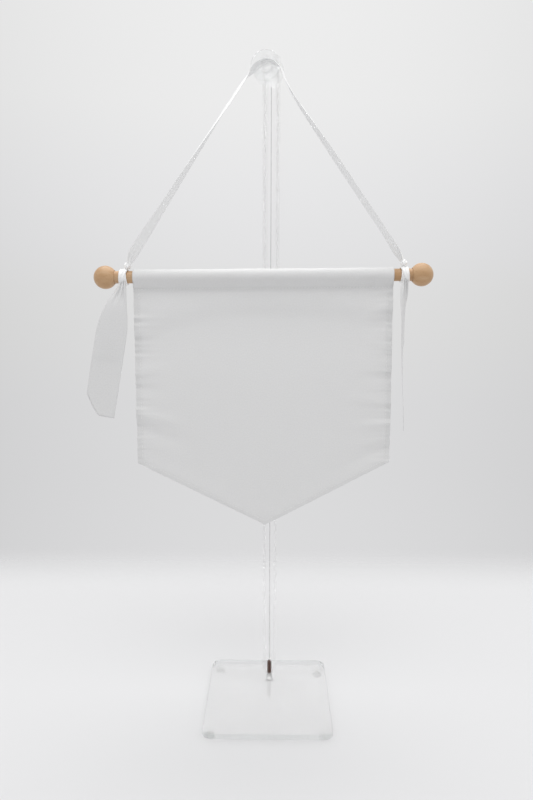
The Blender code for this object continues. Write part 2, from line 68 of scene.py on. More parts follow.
ROD_RADIUS = 0.006
PAINTED_LINE_RADIUS = 0.0003
SLEEVE_RADIUS = 0.0075
SLEEVE_WALL = 0.00115
SLEEVE_BOTTOM = 0.300
SLEEVE_TOP = 0.530
PLUG_BOTTOM = 0.5085
PLUG_GROOVES = (0.0035, 0.0075)
PEG_Z = 0.516
PEG_SWING = math.radians(10)
PEG_RADIUS = 0.0045
PEG_LENGTH = 0.0155
FLANGE_RADIUS = 0.0115
FLANGE_THICK = 0.0022
STUB_RADIUS = 0.0025
STUB_INNER_END = 0.0025
DOWEL_X = 0.00325
DOWEL_Y = 0.0182
DOWEL_Z = 0.3560
DOWEL_RISE = 0.0113
DOWEL_RADIUS = 0.005
DOWEL_TILT = math.atan(DOWEL_RISE)
BALL_SPACING = 0.2561
BALL_RADIUS = 0.0094
BALL_BORE_END = 0.0015
CLOTH_LEFT_TOP = -0.1020
CLOTH_LEFT_LOW = -0.1015
CLOTH_RIGHT_TOP = 0.1085
CLOTH_RIGHT_LOW = 0.1090
SEAM_DROP = 0.0094
CORNER_DROP = 0.1542
TIP_DROP = 0.2075
TIP_SHARE = 0.508
POCKET_LAP = math.radians(35)
HEM_SIDE = 0.0050
HEM_BOTTOM = 0.0042
BELLY = 0.0016
BELLY_SHARE = 0.45
BELLY_POWER = 0.8
RELIEF_FADE = 0.12
RIPPLE = 0.0007
RIPPLE_X, RIPPLE_X_START = 0.034, 1.1
RIPPLE_Z, RIPPLE_Z_START = 0.045, 0.4
FOLD_X, FOLD_Z = -0.0033, 0.3213    # top of the soft fold below the pocket
FOLD_BENDS = (2.45, 0.63)           # how fast it falls away to the left and right
FOLD_DEPTH = 0.0022
FOLD_REACHES = (0.012, 0.032)       # above and below the fold
PUCKER_GAIN = 1.4                   # sharper than the CAD sheet can show
PUCKER_FIELDS = ("side", "height", "reach", "half", "depth", "slope")
PUCKERS = (
    ("left", 0.326, 0.012, 0.0040, -0.0005, 0.10),
    ("left", 0.309, 0.015, 0.0040, 0.0005, 0.00),
    ("left", 0.277, 0.020, 0.0048, 0.0008, 0.15),
    ("left", 0.263, 0.016, 0.0045, -0.0007, 0.00),
    ("left", 0.2435, 0.026, 0.0048, 0.0010, -0.25),
    ("left", 0.232, 0.032, 0.0060, -0.0010, -0.35),
    ("right", 0.336, 0.016, 0.0045, 0.0006, -0.60),
    ("right", 0.322, 0.014, 0.0045, -0.0006, -0.30),
    ("right", 0.299, 0.018, 0.0045, 0.0006, 0.20),
    ("right", 0.274, 0.018, 0.0045, -0.0008, 0.00),
    ("right", 0.253, 0.024, 0.0045, 0.0008, 0.10),
    ("right", 0.236, 0.022, 0.0045, 0.0008, -0.10),
    ("right", 0.217, 0.028, 0.0060, -0.0010, -0.45),
)
STRIP_FIELDS = ("x", "y", "z", "chord", "cup", "turn", "peg")
LOOP = (
    (-0.1056, 0.0172, 0.3640, 0.0040, 0.0002, -10, 0),
    (-0.1032, 0.0176, 0.3715, 0.0105, 0.0010, -34, 0),
    (-0.0968, 0.0182, 0.3815, 0.0150, 0.0022, -20, 0),
    (-0.0802, 0.0182, 0.4060, 0.0215, 0.0030, -5, 0),
    (-0.0566, 0.0182, 0.4415, 0.0225, 0.0030, 2, 0),
    (-0.0322, 0.0182, 0.4770, 0.0215, 0.0025, 12, 0.2),
    (-0.0172, 0.0190, 0.5000, 0.0172, 0.0012, 24, 0.8),
    (-0.0104, 0.0202, 0.5100, 0.0148, 0.0004, 20, 1),
    (-0.0058, 0.0203, 0.5152, 0.0144, 0.0001, 2, 1),
    (0.0000, 0.0193, 0.5197, 0.0144, 0.0000, 0, 1),
    (0.0062, 0.0182, 0.5215, 0.0144, 0.0000, 0, 1),
    (0.0124, 0.0171, 0.5197, 0.0144, 0.0000, 0, 1),
    (0.0172, 0.0162, 0.5145, 0.0144, 0.0001, 0, 1),
    (0.0206, 0.0164, 0.5060, 0.0154, 0.0008, 0, 0.9),
    (0.0310, 0.0172, 0.4890, 0.0190, 0.0022, 0, 0.5),
    (0.0568, 0.0182, 0.4535, 0.0225, 0.0034, -1, 0),
    (0.0828, 0.0182, 0.4165, 0.0225, 0.0034, -2, 0),
    (0.1036, 0.0182, 0.3870, 0.0160, 0.0026, -8, 0),
    (0.1118, 0.0178, 0.3750, 0.0095, 0.0010, -26, 0),
    (0.1160, 0.0174, 0.3668, 0.0040, 0.0002, -10, 0),
)
TAIL_LEFT = (
    (-0.1100, 0.0126, 0.3515, 0.0046, 0.0002, 90, 0),
    (-0.1108, 0.0100, 0.3440, 0.0085, 0.0014, 88, 0),
    (-0.1145, 0.0092, 0.3310, 0.0170, 0.0030, 86, 0),
    (-0.1180, 0.0093, 0.3150, 0.0238, 0.0024, 86, 0),
    (-0.1231, 0.0100, 0.2880, 0.0250, 0.0010, 87, 0),
    (-0.1277, 0.0108, 0.2620, 0.0250, 0.0006, 88, 0),
    (-0.1314, 0.0115, 0.2420, 0.0250, 0.0004, 88, 0),
)
TAIL_RIGHT = (
    (0.1174, 0.0120, 0.3535, 0.0044, 0.0002, 85, 0),
    (0.1169, 0.0118, 0.3440, 0.0090, 0.0010, 45, 0),
    (0.1166, 0.0150, 0.3290, 0.0190, 0.0020, 18, 0),
    (0.1170, 0.0175, 0.3050, 0.0245, 0.0018, 13, 0),
    (0.1180, 0.0185, 0.2760, 0.0250, 0.0010, 11, 0),
    (0.1194, 0.0190, 0.2500, 0.0250, 0.0006, 9, 0),
    (0.1203, 0.0192, 0.2290, 0.0250, 0.0004, 9, 0),
)
TAIL_SLANT = 0.0170

# Cloth and ribbon as they are sewn
CLOTH_THICK = 0.0003
CLOTH_TURNED = 0.00042              # from the front layer to a hem's turned layer
CLOTH_RADIUS = DOWEL_RADIUS + 0.0007
SEAM_ALLOWANCE = 0.0035
CLOTH_FINE_STEP = 0.0011
CLOTH_WIDE_STEP = 0.0026
CLOTH_FINE_REACH = 0.034
POCKET_STEPS = 30
FIELD_ROWS = 150
STITCH_PITCH = 0.0026
STITCH_LENGTH = 0.0020
STITCH_RADIUS = 0.00013
SIDE_LINE = 0.0042                  # stitching, measured in from the edges
LOW_LINE = 0.0035
RIBBON_WIDTH = 0.025
RIBBON_THICK = 0.00025
RIBBON_ACROSS = 32
RIBBON_STEPS = 9
RIBBON_PLEATS = 3
RIBBON_BOW = 0.0014
TURNED_STEPS = 96

CAMERA_PLACE = (0.0120, -0.5877, 0.3341)
CAMERA_PITCH = math.radians(7.464)
CAMERA_ROLL = math.radians(0.173)
CAMERA_YAW = math.radians(-0.543)
FOCAL_PIXELS = 738.3
FRAME_HEIGHT = 800
SENSOR = 36.0


def blend(first, second, share):
    return first + (second - first) * share


def soft_step(share):
    share = min(max(share, 0.0), 1.0)
    return share * share * (3.0 - 2.0 * share)


# Materials

def colour(code):
    """Linear colour of an sRGB hex code."""
    parts = [int(code[start:start + 2], 16) / 255 for start in (0, 2, 4)]
    linear = [part / 12.92 if part <= 0.04045 else ((part + 0.055) / 1.055) ** 2.4 for part in parts]
    return (*linear, 1.0)


def add(tree, kind, values=None, links=None, **settings):
    """Add one node with its settings, its socket values and its incoming links."""
    node = tree.nodes.new(kind)
    for key, value in settings.items():
        setattr(node, key, value)
    for key, value in (values or {}).items():
        node.inputs[key].default_value = value
    for key, socket in (links or {}).items():
        tree.links.new(socket, node.inputs[key])
    return node


def start_material(name, values):
    material = bpy.data.materials.new(name)
    material.use_nodes = True
    shader = material.node_tree.nodes["Principled BSDF"]
    for key, value in values.items():
        shader.inputs[key].default_value = value
    return material, material.node_tree, shader


def ramp(tree, factor, stops):
    """Colour ramp with (place, colour code) stops."""
    node = add(tree, "ShaderNodeValToRGB", links={"Fac": factor})
    marks = node.color_ramp.elements
    for mark, (place, code) in zip(marks, (stops[0], stops[-1])):
        mark.position = place
        mark.color = colour(code)
    for place, code in stops[1:-1]:
        marks.new(place).color = colour(code)
    return node


def acrylic_material(name, tone, alpha, texture, gloss):
    """Clear acrylic: part refraction, part plain see-through, as full refraction renders too dark on a floor."""
    material, tree, shader = start_material(name, {
        "Base Color": colour(tone), "IOR": 1.491, "Transmission Weight": 1.0, "Alpha": alpha})
    place = add(tree, "ShaderNodeTexCoord").outputs["Object"]
    grain = add(tree, "ShaderNodeMapping", {"Scale": texture}, {"Vector": place})
    haze = add(tree, "ShaderNodeTexNoise", {"Scale": 1.0, "Detail": 3.0}, {"Vector": grain.outputs["Vector"]})
    rough = add(tree, "ShaderNodeMapRange", {"To Min": gloss[0], "To Max": gloss[1]},
                {"Value": haze.outputs["Fac"]})
    tree.links.new(rough.outputs["Result"], shader.inputs["Roughness"])
    return material


# Painted shade: a thin grey line down the rod's middle, standing for the dark line that refraction shows through the
# clear rod
def painted_line_material():
    material, tree, shader = start_material("painted_dark_line", {"IOR": 1.491, "Roughness": 0.4, "Alpha": 0.28})
    place = add(tree, "ShaderNodeTexCoord").outputs["Object"]
    along = add(tree, "ShaderNodeMapping", {"Scale": (1, 1, 40)}, {"Vector": place})
    uneven = add(tree, "ShaderNodeTexNoise", {"Scale": 1.0, "Detail": 2.0}, {"Vector": along.outputs["Vector"]})
    tint = ramp(tree, uneven.outputs["Fac"], ((0.35, "8F8C90"), (0.65, "B4B2B5")))
    tree.links.new(tint.outputs["Color"], shader.inputs["Base Color"])
    return material


def bumper_material():
    material, tree, shader = start_material("clear_polyurethane", {
        "Base Color": colour("F4F6F4"), "IOR": 1.46, "Transmission Weight": 0.9, "Alpha": 0.26})
    place = add(tree, "ShaderNodeTexCoord").outputs["Object"]
    haze = add(tree, "ShaderNodeTexNoise", {"Scale": 700.0, "Detail": 2.0}, {"Vector": place})
    rough = add(tree, "ShaderNodeMapRange", {"To Min": 0.18, "To Max": 0.34}, {"Value": haze.outputs["Fac"]})
    tree.links.new(rough.outputs["Result"], shader.inputs["Roughness"])
    return material


def steel_material():
    """Steel, light grey where the head and shank sit in the plate, with painted shade in dark brown where the thread
    enters the post.
    """
    material, tree, shader = start_material("steel_with_painted_shade", {"Metallic": 1.0})
    place = add(tree, "ShaderNodeTexCoord").outputs["Object"]
    split = add(tree, "ShaderNodeSeparateXYZ", links={"Vector": place})
    height = add(tree, "ShaderNodeMapRange", {"From Min": 0.0060, "From Max": 0.0075}, {"Value": split.outputs["Z"]})
    # Painted shade: dark brown above the plate's top, where the thread sits in the post's bore
    tint = ramp(tree, height.outputs["Result"], ((0.0, "E2E2E2"), (1.0, "66514A")))
    tree.links.new(tint.outputs["Color"], shader.inputs["Base Color"])
    grime = add(tree, "ShaderNodeTexNoise", {"Scale": 1500.0, "Detail": 3.0}, {"Vector": place})
    rough = add(tree, "ShaderNodeMapRange", {"To Min": 0.28, "To Max": 0.5}, {"Value": grime.outputs["Fac"]})
    tree.links.new(rough.outputs["Result"], shader.inputs["Roughness"])
    return material


def beech_material():
    """Pale beech: long soft bands, short ray flecks and fine pores along X."""
    material, tree, shader = start_material("bare_beech", {"IOR": 1.45})
    place = add(tree, "ShaderNodeTexCoord").outputs["Object"]
    bands = add(tree, "ShaderNodeMapping", {"Scale": (22, 190, 190)}, {"Vector": place})
    band = add(tree, "ShaderNodeTexNoise", {"Scale": 1.0, "Detail": 4.0, "Distortion": 0.5},
               {"Vector": bands.outputs["Vector"]})
    base = ramp(tree, band.outputs["Fac"], ((0.30, "BA936B"), (0.52, "C49F78"), (0.72, "CBAA86")))
    flecks = add(tree, "ShaderNodeMapping", {"Scale": (480, 2300, 2300)}, {"Vector": place})
    fleck = add(tree, "ShaderNodeTexNoise", {"Scale": 1.0, "Detail": 2.0},
                {"Vector": flecks.outputs["Vector"]})
    mask = add(tree, "ShaderNodeMapRange", {"From Min": 0.60, "From Max": 0.72, "To Max": 0.5},
               {"Value": fleck.outputs["Fac"]})
    mixed = add(tree, "ShaderNodeMix", {7: colour("8E6038")},
                {"Factor": mask.outputs["Result"], 6: base.outputs["Color"]}, data_type="RGBA")
    tree.links.new(mixed.outputs[2], shader.inputs["Base Color"])
    rough = add(tree, "ShaderNodeMapRange", {"To Min": 0.30, "To Max": 0.44}, {"Value": band.outputs["Fac"]})
    tree.links.new(rough.outputs["Result"], shader.inputs["Roughness"])
    bump = add(tree, "ShaderNodeBump", {"Strength": 0.35, "Distance": 0.00008},
               {"Height": fleck.outputs["Fac"]})
    tree.links.new(bump.outputs["Normal"], shader.inputs["Normal"])
    return material


def satin_material(name, tone, alpha, sheen, roughness, pitch, relief):
    """Satin weave from the UV map, which is in metres across (U) and along (V)."""
    material, tree, shader = start_material(name, {
        "Alpha": alpha, "IOR": 1.50, "Specular IOR Level": 0.35, "Sheen Weight": sheen, "Sheen Roughness": 0.35})
    place = add(tree, "ShaderNodeUVMap").outputs["UV"]
    slub = add(tree, "ShaderNodeMapping", {"Scale": (1500, 60, 1)}, {"Vector": place})
    uneven = add(tree, "ShaderNodeTexNoise", {"Scale": 1.0, "Detail": 3.0}, {"Vector": slub.outputs["Vector"]})
    soft = add(tree, "ShaderNodeTexNoise", {"Scale": 900.0, "Detail": 2.0}, {"Vector": place})
    tint = ramp(tree, soft.outputs["Fac"], ((0.3, tone[0]), (0.7, tone[1])))
    tree.links.new(tint.outputs["Color"], shader.inputs["Base Color"])
    low, high = roughness
    rough = add(tree, "ShaderNodeMapRange", {"To Min": low, "To Max": high}, {"Value": uneven.outputs["Fac"]})
    tree.links.new(rough.outputs["Result"], shader.inputs["Roughness"])
    if not relief:
        return material
    threads = [add(tree, "ShaderNodeTexWave", {"Scale": math.tau / 20 / pitch, "Distortion": 0.6,
                                               "Detail": 1.0, "Detail Scale": 1.0},
                   {"Vector": place}, bands_direction=axis) for axis in ("X", "Y")]
    both = add(tree, "ShaderNodeMath", links={0: threads[0].outputs["Fac"], 1: threads[1].outputs["Fac"]},
               operation="ADD")
    weave = add(tree, "ShaderNodeBump", {"Strength": relief, "Distance": 0.00003}, {"Height": both.outputs["Value"]})
    slubs = add(tree, "ShaderNodeBump", {"Strength": relief, "Distance": 0.00005},
                {"Height": uneven.outputs["Fac"], "Normal": weave.outputs["Normal"]})
    tree.links.new(slubs.outputs["Normal"], shader.inputs["Normal"])
    return material


def thread_material():
    material, tree, shader = start_material("polyester_thread", {"IOR": 1.50, "Sheen Weight": 0.2})
    place = add(tree, "ShaderNodeTexCoord").outputs["Object"]
    twist = add(tree, "ShaderNodeTexNoise", {"Scale": 4000.0, "Detail": 1.0}, {"Vector": place})
    tint = ramp(tree, twist.outputs["Fac"], ((0.3, "E9E9E8"), (0.7, "FBFBFA")))
    tree.links.new(tint.outputs["Color"], shader.inputs["Base Color"])
    rough = add(tree, "ShaderNodeMapRange", {"To Min": 0.35, "To Max": 0.55}, {"Value": twist.outputs["Fac"]})
    tree.links.new(rough.outputs["Result"], shader.inputs["Roughness"])
    return material


# Pieces

def make_piece(name, bm, material, slot, *nodes):
    """A finished piece in the frame, standing for the CAD nodes named."""
    mesh = bpy.data.meshes.new(name)
    bm.to_mesh(mesh)
    bm.free()
    mesh.shade_smooth()
    mesh.set_sharp_from_angle(angle=math.radians(40))
    mesh.materials.append(material)
    piece = bpy.data.objects.new(name, mesh)
    bpy.context.collection.objects.link(piece)
    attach(piece, "root")
    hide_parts(*nodes)
    return piece


def make_hard(name, bm, material, slot, node):
    """A hard piece, whose large faces keep their own direction beside rounded edges."""
    piece = make_piece(name, bm, material, slot, node)
    settle_normals(piece)
    return piece


def settle_normals(piece):
    weighted = piece.modifiers.new("normals", "WEIGHTED_NORMAL")
    weighted.mode = "FACE_AREA"
    weighted.weight = 100
    weighted.keep_sharp = True
    apply_modifiers(piece)


def turned(profile, place, steps=TURNED_STEPS):
    """Spin a (radius, height) profile round Z and put it in place."""
    bm = bmesh.new()
    corners = [bm.verts.new((radius, 0.0, height)) for radius, height in profile]
    edges = [bm.edges.new(pair) for pair in zip(corners, corners[1:])]
    if profile[0][0] > 0.0:
        edges.append(bm.edges.new((corners[-1], corners[0])))
    bmesh.ops.spin(bm, geom=corners + edges, axis=(0, 0, 1), cent=(0, 0, 0),
                   angle=math.tau, steps=steps, use_merge=True)
    bmesh.ops.remove_doubles(bm, verts=bm.verts, dist=1e-7)
    bmesh.ops.recalc_face_normals(bm, faces=bm.faces)
    bmesh.ops.transform(bm, matrix=place, verts=bm.verts)
    return bm


def rounded(points, edge, steps=4):
    """Profile with each inside corner of a list of (radius, height) points rounded."""
    result = [points[0]]
    for before, corner, after in zip(points, points[1:], points[2:]):
        corner = Vector(corner)
        first = (Vector(before) - corner)
        second = (Vector(after) - corner)
        reach = min(edge, first.length / 2.1, second.length / 2.1)
        start = corner + first.normalized() * reach
        end = corner + second.normalized() * reach
        for step in range(steps + 1):
            share = step / steps
            point = (1 - share) ** 2 * start + 2 * share * (1 - share) * corner + share ** 2 * end
            result.append((max(point.x, 0.0), point.y))
    result.append(points[-1])
    return result


def thread_profile(radius, low, high, pitch, depth):
    """Ridges of a screw thread, as points up the side of a shank."""
    points = []
    height = low
    while height < high - pitch:
        points += [(radius - depth, height), (radius, height + pitch / 2)]
        height += pitch
    return points + [(radius - depth, height)]


def make_stand(sheet, edge_tint_and_shade, tube, turned_clear, painted_line, bumper, steel):
    bm = bmesh.new()
    reach_x = PLATE_WIDTH / 2 - PLATE_CORNER
    reach_y = PLATE_DEPTH / 2 - PLATE_CORNER
    outline = []
    for quarter, (side_x, side_y) in enumerate(((1, 1), (-1, 1), (-1, -1), (1, -1))):
        for step in range(17):
            angle = math.pi / 2 * (quarter + step / 16)
            outline.append((PLATE_X + side_x * reach_x + PLATE_CORNER * math.cos(angle),
                            side_y * reach_y + PLATE_CORNER * math.sin(angle), PLATE_BOTTOM))
    face = bm.faces.new([bm.verts.new(point) for point in outline])
    raised = bmesh.ops.extrude_face_region(bm, geom=[face])["geom"]
    top = [item for item in raised if isinstance(item, bmesh.types.BMVert)]
    bmesh.ops.translate(bm, verts=top, vec=(0, 0, PLATE_THICK))
    rims = [edge for edge in bm.edges if abs(edge.verts[0].co.z - edge.verts[1].co.z) < 1e-7]
    bmesh.ops.bevel(bm, geom=rims, offset=0.00045, segments=4, profile=0.5, affect="EDGES", material=-1)
    bmesh.ops.recalc_face_normals(bm, faces=bm.faces)
    plate = make_piece("clear_base", bm, sheet, "clear_acrylic", "base_plate")
    post = Matrix.Translation((POST_X, POST_Y, 0.0))
    head = STUD_HEAD_RADIUS + GAP
    shank = STUD_RADIUS + GAP
    hole = turned([(0.0, 0.0), (head, 0.0), (head, PLATE_BOTTOM + GAP),
                   (shank, PLATE_BOTTOM + STUD_HEAD_HEIGHT + 2 * GAP), (shank, 0.01), (0.0, 0.01)], post, 48)
    cut_out(plate, hole)
    # The side faces take a greyer, less see-through acrylic: partly the edge's own tint, partly painted shade along
    # the plate's edges
    plate.data.materials.append(edge_tint_and_shade)
    for face in plate.data.polygons:
        middle = face.center
        inside = abs(middle.x - PLATE_X) < PLATE_WIDTH / 2 - 0.0006 and abs(middle.y) < PLATE_DEPTH / 2 - 0.0006
        if abs(face.normal.z) < 0.3 and not (inside and (middle - Vector((POST_X, POST_Y, 0))).length < 0.02):
            face.material_index = 1

    for place, (x, y) in FOOT_PLACES.items():
        dome = rounded([(0.0, 0.0), (FOOT_RADIUS - 0.0003, 0.0), (FOOT_RADIUS, 0.0005),
                        (FOOT_RADIUS, FOOT_HEIGHT), (0.0, FOOT_HEIGHT)], 0.0004)
        make_hard("bumper_" + place, turned(dome, Matrix.Translation((PLATE_X + x, y, 0.0)), 48),
                  bumper, "soft_bumper", "foot_" + place)

    start = PLATE_BOTTOM + GAP
    stud = [(0.0, start), (STUD_HEAD_RADIUS, start), (STUD_RADIUS, start + STUD_HEAD_HEIGHT)]
    stud += thread_profile(STUD_RADIUS, start + STUD_HEAD_HEIGHT + 0.0002, STUD_TOP - 0.0006, 0.0007, 0.00028)
    stud += [(STUD_RADIUS - 0.0007, STUD_TOP), (0.0, STUD_TOP)]
    make_hard("threaded_stud", turned(stud, post, 32), steel, "dark_steel", "stud_screw")

    bottom = PLATE_TOP + GAP
    bore_top = STUD_TOP + GAP
    rod_top = PLUG_BOTTOM - GAP
    rod = rounded([(0.0, bore_top), (shank, bore_top), (shank, bottom), (ROD_RADIUS, bottom),
                   (ROD_RADIUS, rod_top), (0.0, rod_top)], 0.0004)
    # A grey line down the rod's middle: painted shade for the rod's refraction
    line = [(0.0, bore_top + 0.001), (PAINTED_LINE_RADIUS, bore_top + 0.001), (PAINTED_LINE_RADIUS, rod_top - 0.001),
            (0.0, rod_top - 0.001)]
    make_piece("painted_dark_line", turned(line, post, 8), painted_line, "clear_acrylic", "post_rod")
    make_hard("clear_rod", turned(rod, post), tube, "clear_acrylic", "post_rod")

    bore = SLEEVE_RADIUS - SLEEVE_WALL
    sleeve = [(bore, SLEEVE_BOTTOM), (SLEEVE_RADIUS - 0.0003, SLEEVE_BOTTOM),
              (SLEEVE_RADIUS, SLEEVE_BOTTOM + 0.0003), (SLEEVE_RADIUS, SLEEVE_TOP - 0.0003),
              (SLEEVE_RADIUS - 0.0003, SLEEVE_TOP), (bore, SLEEVE_TOP)]
    jacket = make_piece("clear_sleeve", turned(sleeve, post), tube, "clear_acrylic", "post_sleeve")
    side = bore - GAP
    outline = [(0.0, PLUG_BOTTOM), (side, PLUG_BOTTOM)]
    for height in PLUG_GROOVES:
        outline += [(side, PLUG_BOTTOM + height - 0.0006), (side - 0.0005, PLUG_BOTTOM + height),
                    (side, PLUG_BOTTOM + height + 0.0006)]
    outline += [(side, SLEEVE_TOP), (0.0, SLEEVE_TOP)]
    plug = make_piece("clear_plug", turned(rounded(outline, 0.0002, 2), post), tube,
                      "clear_acrylic", "post_plug")
    swing = Matrix.Rotation(-PEG_SWING, 4, "Z") @ Matrix.Rotation(math.pi / 2, 4, "X")
    peg_place = Matrix.Translation((POST_X, POST_Y, PEG_Z)) @ swing
    for piece in (jacket, plug):
        drill = [(0.0, STUB_INNER_END - GAP), (STUB_RADIUS + GAP, STUB_INNER_END - GAP),
                 (STUB_RADIUS + GAP, 2 * SLEEVE_RADIUS), (0.0, 2 * SLEEVE_RADIUS)]
        cut_out(piece, turned(drill, peg_place, 48))
    back = SLEEVE_RADIUS + GAP
    start, end = back + FLANGE_THICK, back + FLANGE_THICK + PEG_LENGTH
    spool = rounded([(0.0, STUB_INNER_END), (STUB_RADIUS, STUB_INNER_END), (STUB_RADIUS, back),
                     (FLANGE_RADIUS, back), (FLANGE_RADIUS, start), (PEG_RADIUS, start), (PEG_RADIUS, end),
                     (FLANGE_RADIUS, end), (FLANGE_RADIUS, end + FLANGE_THICK), (0.0, end + FLANGE_THICK)],
                    0.0006, 5)
    make_hard("clear_spool", turned(spool, peg_place), turned_clear, "clear_acrylic", "hanging_peg")


def cut_out(piece, bm):
    """Cut a closed shape out of a piece for good."""
    mesh = bpy.data.meshes.new("cut")
    bm.to_mesh(mesh)
    bm.free()
    cutter = bpy.data.objects.new("cut", mesh)
    bpy.context.collection.objects.link(cutter)
    change = piece.modifiers.new("cut", "BOOLEAN")
    change.operation = "DIFFERENCE"
    change.object = cutter
    apply_modifiers(piece)
    bpy.data.objects.remove(cutter)
    piece.data.shade_smooth()
    piece.data.set_sharp_from_angle(angle=math.radians(40))
    settle_normals(piece)


def apply_modifiers(piece):
    graph = bpy.context.evaluated_depsgraph_get()
    mesh = bpy.data.meshes.new_from_object(piece.evaluated_get(graph))
    piece.modifiers.clear()
    piece.data = mesh


def dowel_height(x):
    return DOWEL_Z + DOWEL_RISE * (x - DOWEL_X)


def make_wood(beech):
    half = BALL_SPACING / 2 - BALL_BORE_END - GAP
    rod = rounded([(0.0, -half), (DOWEL_RADIUS, -half), (DOWEL_RADIUS, half), (0.0, half)], 0.0004)
    place = Matrix.Translation((DOWEL_X, DOWEL_Y, DOWEL_Z)) @ Matrix.Rotation(math.pi / 2 - DOWEL_TILT, 4, "Y")
    make_hard("beech_dowel", turned(rod, place, 64), beech, "beech", "dowel")
    bore = DOWEL_RADIUS + GAP
    mouth = math.asin(bore / BALL_RADIUS)
    profile = [(0.0, BALL_BORE_END), (bore, BALL_BORE_END), (bore, BALL_RADIUS * math.cos(mouth) - 0.0004),
               (bore + 0.0003, BALL_RADIUS * math.cos(mouth) - 0.0001)]
    for step in range(1, 40):
        angle = mouth + 0.04 + (math.pi - mouth - 0.04) * step / 40
        profile.append((BALL_RADIUS * math.sin(angle), BALL_RADIUS * math.cos(angle)))
    profile.append((0.0, -BALL_RADIUS))
    for name, node, side in (("beech_ball_left", "ball_left", -1), ("beech_ball_right", "ball_right", 1)):
        x = DOWEL_X + side * BALL_SPACING / 2 * math.cos(DOWEL_TILT)
        turn = Matrix.Rotation(-side * math.pi / 2 - DOWEL_TILT, 4, "Y")
        place = Matrix.Translation((x, DOWEL_Y, dowel_height(x))) @ turn
        make_hard(name, turned(profile, place, 64), beech, "beech", node)


# The pennant

def cloth_drop(share):
    if share < TIP_SHARE:
        return blend(CORNER_DROP, TIP_DROP, share / TIP_SHARE)
    return blend(TIP_DROP, CORNER_DROP, (share - TIP_SHARE) / (1 - TIP_SHARE))


def cloth_relief(x, z, from_left, from_right, down, leg):
    """How far the hanging field stands forward (-) or back (+) at a point."""
    share = down / leg
    relief = -BELLY * math.sin(math.pi * min(share / (2 * BELLY_SHARE), 1.0) ** BELLY_POWER)
    relief += RIPPLE * math.sin(x / RIPPLE_X + RIPPLE_X_START) * math.sin(z / RIPPLE_Z + RIPPLE_Z_START)
    bend = FOLD_BENDS[0] if x < FOLD_X else FOLD_BENDS[1]
    above = z - FOLD_Z + bend * (x - FOLD_X) ** 2
    reach = FOLD_REACHES[0] if above > 0.0 else FOLD_REACHES[1]
    relief += FOLD_DEPTH * math.exp(-(above / reach) ** 2)
    for row in PUCKERS:
        pucker = dict(zip(PUCKER_FIELDS, row))
        inward = from_left if pucker["side"] == "left" else from_right
        middle = pucker["height"] + pucker["slope"] * inward
        across = math.exp(-((z - middle) / pucker["half"]) ** 2)
        relief -= PUCKER_GAIN * pucker["depth"] * across * math.exp(-(inward / pucker["reach"]) ** 2)
    relief *= soft_step(share / RELIEF_FADE)
    edge = min(from_left, from_right)
    side = 0.0 if from_left < from_right else 7.3
    low = leg - down
    relief += 0.00150 * noise.noise((z / 0.0036, side, 0.0)) * math.exp(-edge / 0.0075)
    relief += 0.00022 * noise.noise((x / 0.0045, 3.1, 0.0)) * math.exp(-low / 0.0070)
    relief += 0.00030 * noise.noise((x / 0.0052, 9.4, 0.0)) * math.exp(-down / 0.0060)
    relief += 0.00013 * math.exp(-((edge - SIDE_LINE) / 0.0006) ** 2)
    relief += 0.00013 * math.exp(-((low - LOW_LINE) / 0.0006) ** 2)
    return relief


def cloth_point(share, down):
    """Middle of the front layer, a distance down from the pocket's seam."""
    width = CLOTH_RIGHT_TOP - CLOTH_LEFT_TOP
    top_x = blend(CLOTH_LEFT_TOP, CLOTH_RIGHT_TOP, share)
    low_x = blend(CLOTH_LEFT_LOW, CLOTH_RIGHT_LOW, share)
    leg = cloth_drop(share) - SEAM_DROP
    x = blend(top_x, low_x, down / leg)
    z = dowel_height(top_x) - SEAM_DROP - down
    y = DOWEL_Y - 0.0002 + cloth_relief(x, z, share * width, (1 - share) * width, down, leg)
    return Vector((x, y, z))


def pocket_point(share, angle):
    x = blend(CLOTH_LEFT_TOP, CLOTH_RIGHT_TOP, share)
    slack = 0.00018 * noise.noise((x / 0.012, angle / 1.1, 2.0))
    radius = CLOTH_RADIUS + 0.0001 + slack
    return Vector((x, DOWEL_Y + radius * math.cos(angle), dowel_height(x) + radius * math.sin(angle)))


def cloth_shares():
    """Column places across the cloth, closer together near the side hems."""
    width = CLOTH_RIGHT_TOP - CLOTH_LEFT_TOP
    fine = round(CLOTH_FINE_REACH / CLOTH_FINE_STEP)
    wide = round((width - 2 * CLOTH_FINE_REACH) / CLOTH_WIDE_STEP)
    places = [CLOTH_FINE_STEP * index for index in range(fine)]
    places += [blend(CLOTH_FINE_REACH, width - CLOTH_FINE_REACH, index / wide) for index in range(wide)]
    places += [width - CLOTH_FINE_STEP * index for index in range(fine, -1, -1)]
    return [place / width for place in places]


